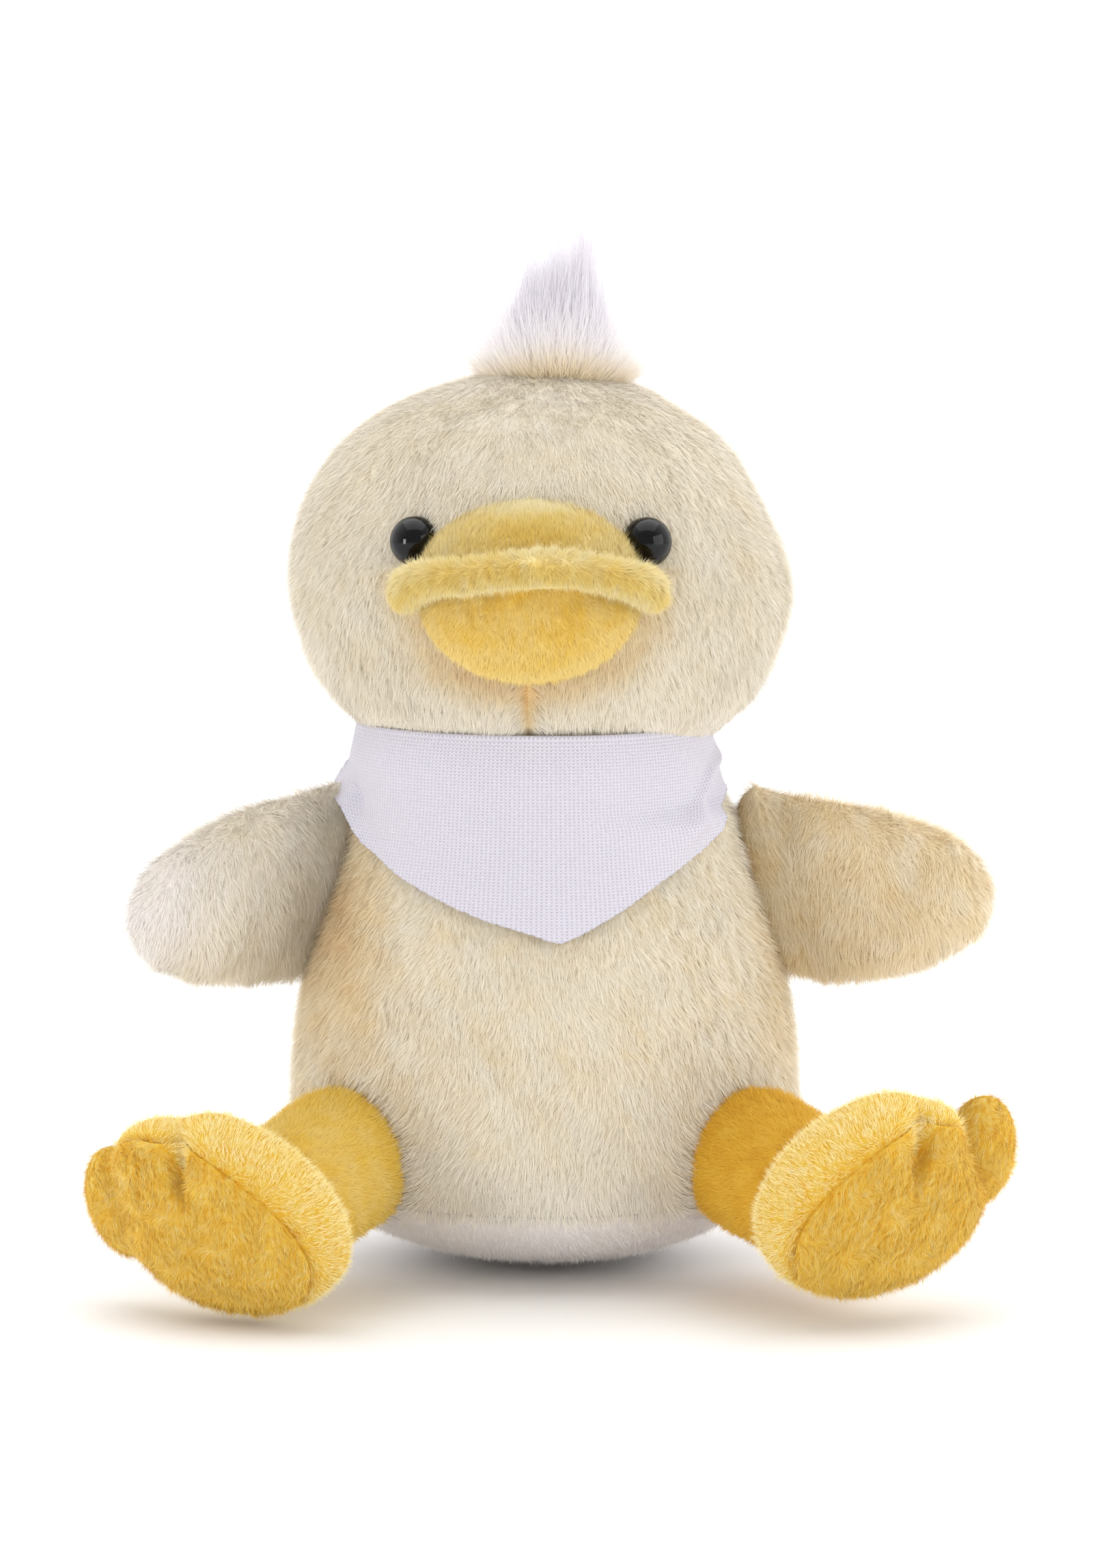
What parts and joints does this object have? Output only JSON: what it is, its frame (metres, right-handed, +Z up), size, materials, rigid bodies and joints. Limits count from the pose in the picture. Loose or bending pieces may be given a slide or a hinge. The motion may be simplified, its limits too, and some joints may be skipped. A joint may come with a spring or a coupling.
{
  "type": "plush duck",
  "caption": "Seated plush duck with a round head, wide rolled beak, crest tuft, paddle wings, webbed feet and a triangular knitted bandana.",
  "frame": {"origin": "middle of the base panel's flat, on the floor plane and under the middle of the body", "axes": "+Z up through the head and the crest, -Y out of the face, +X to the right as seen from in front"},
  "size_m": [0.1458, 0.1154, 0.171],
  "materials": {
    "cream_plush": "matte",
    "base_plush": "matte",
    "crest_fur": "matte",
    "pale_yellow_plush": "matte",
    "golden_plush": "matte",
    "eye_black": "gloss",
    "washer_plastic": "satin",
    "bandana_knit": "matte",
    "stuffing_fibre": "matte",
    "pellet_bag": "matte"
  },
  "bodies": {
    "torso": {"body_skin": "cream_plush", "body_stuffing": "stuffing_fibre", "bean_pouch": "pellet_bag", "base_panel": "base_plush", "tail": "cream_plush", "bandana": "bandana_knit", "bandana_knot": "bandana_knit"},
    "neck": {"neck_stuffing": "stuffing_fibre"},
    "head": {"head_skin": "cream_plush", "head_stuffing": "stuffing_fibre", "tuft": "crest_fur", "upper_beak": "pale_yellow_plush", "upper_beak_stuffing": "stuffing_fibre", "lower_beak": "golden_plush", "lower_beak_stuffing": "stuffing_fibre", "eye_left": "eye_black", "eye_right": "eye_black", "eye_washer_left": "washer_plastic", "eye_washer_right": "washer_plastic"},
    "wing_left": {"wing_left": "cream_plush", "wing_stuffing_left": "stuffing_fibre"},
    "wing_right": {"wing_right": "cream_plush", "wing_stuffing_right": "stuffing_fibre"},
    "leg_left": {"leg_left": "golden_plush", "leg_stuffing_left": "stuffing_fibre"},
    "leg_right": {"leg_right": "golden_plush", "leg_stuffing_right": "stuffing_fibre"},
    "foot_left": {"foot_top_left": "pale_yellow_plush", "foot_sole_left": "golden_plush", "foot_stuffing_left": "stuffing_fibre"},
    "foot_right": {"foot_top_right": "pale_yellow_plush", "foot_sole_right": "golden_plush", "foot_stuffing_right": "stuffing_fibre"}
  },
  "joints": [
    {"name": "head_turn", "type": "hinge", "parent": "torso", "child": "neck", "pos_m": [-0.001, 0, 0.115], "axis": [0, 0, 1], "range_deg": [-25, 25]},
    {"name": "head_nod", "type": "hinge", "parent": "neck", "child": "head", "pos_m": [-0.001, 0, 0.115], "axis": [1, 0, 0], "range_deg": [-10, 10]},
    {"name": "wing_swing_left", "type": "hinge", "parent": "torso", "child": "wing_left", "pos_m": [-0.03845, -0.002, 0.0608], "axis": [0.2718, 0, 0.9624], "range_deg": [-50, 12]},
    {"name": "wing_swing_right", "type": "hinge", "parent": "torso", "child": "wing_right", "pos_m": [0.03845, -0.002, 0.0608], "axis": [-0.2718, 0, 0.9624], "range_deg": [-38, 35]},
    {"name": "leg_swing_left", "type": "hinge", "parent": "torso", "child": "leg_left", "pos_m": [-0.032, -0.0275, 0.0215], "axis": [-1, 0, 0], "range_deg": [-12, 30]},
    {"name": "leg_swing_right", "type": "hinge", "parent": "torso", "child": "leg_right", "pos_m": [0.032, -0.0275, 0.0215], "axis": [-1, 0, 0], "range_deg": [-12, 30]},
    {"name": "foot_flex_left", "type": "hinge", "parent": "leg_left", "child": "foot_left", "pos_m": [-0.0405, -0.041, 0.018], "axis": [0.3338, -0.3949, 0.8559], "range_deg": [-15, 15]},
    {"name": "foot_flex_right", "type": "hinge", "parent": "leg_right", "child": "foot_right", "pos_m": [0.0405, -0.041, 0.0192], "axis": [-0.3338, -0.3949, 0.8559], "range_deg": [-15, 15]}
  ]
}
